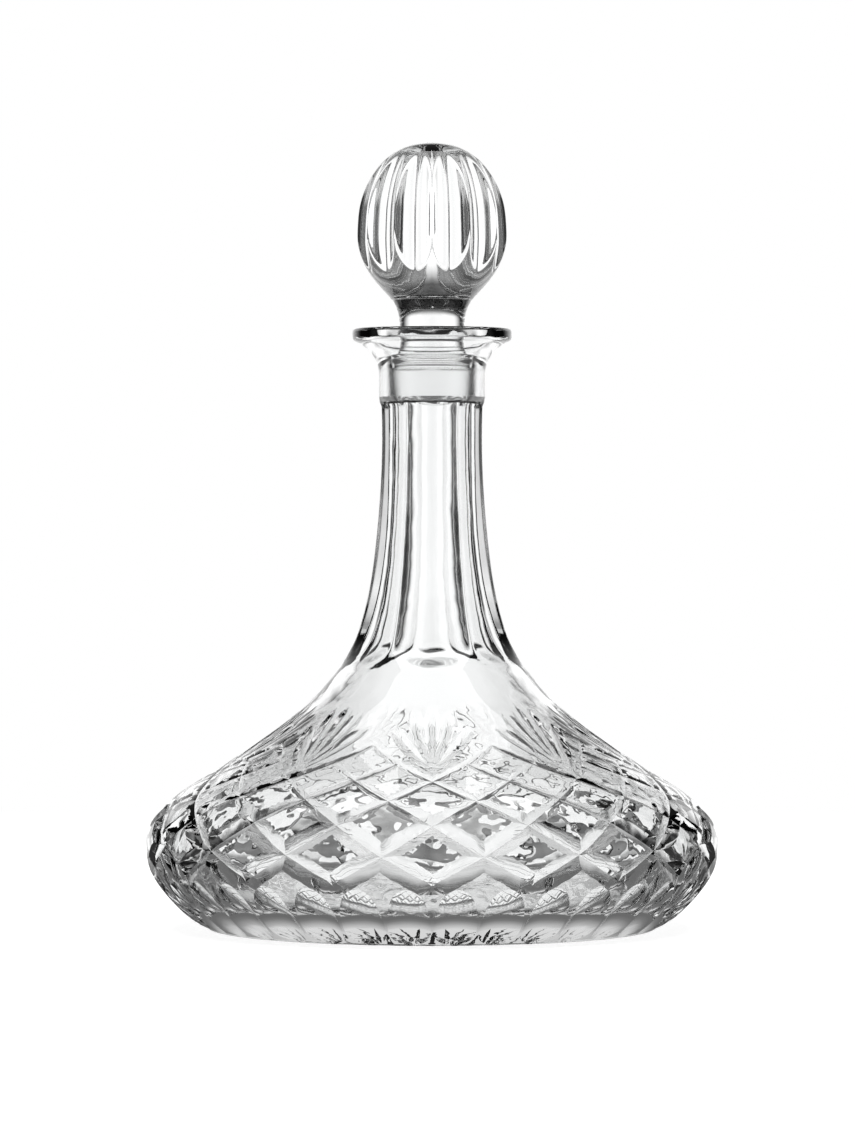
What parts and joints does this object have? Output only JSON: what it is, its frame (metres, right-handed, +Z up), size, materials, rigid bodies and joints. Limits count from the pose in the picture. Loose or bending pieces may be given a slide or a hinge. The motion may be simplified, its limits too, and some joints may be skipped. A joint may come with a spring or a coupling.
{
  "type": "wine decanter",
  "caption": "Cut-crystal ship's decanter: broad low body with lozenge and flute cutting, long panelled neck, flat lip and a lift-out solid ball stopper with a ground plug.",
  "frame": {"origin": "centre of the foot, on the surface the decanter stands on", "axes": "+Z up along the axis of the body, neck and stopper; -Y towards the front, where a neck panel faces; +X to the right seen from the front"},
  "size_m": [0.1896, 0.1896, 0.26],
  "materials": {
    "crystal": "clear polished lead-free crystal, mitre cut; plug and seat ground matt"
  },
  "bodies": {
    "decanter": {"decanter": "crystal"},
    "stopper": {"stopper": "crystal"}
  },
  "joints": [
    {"name": "stopper_lift", "type": "slide", "parent": "decanter", "child": "stopper", "axis": [0, 0, 1], "range_m": [0, 0.04]}
  ]
}
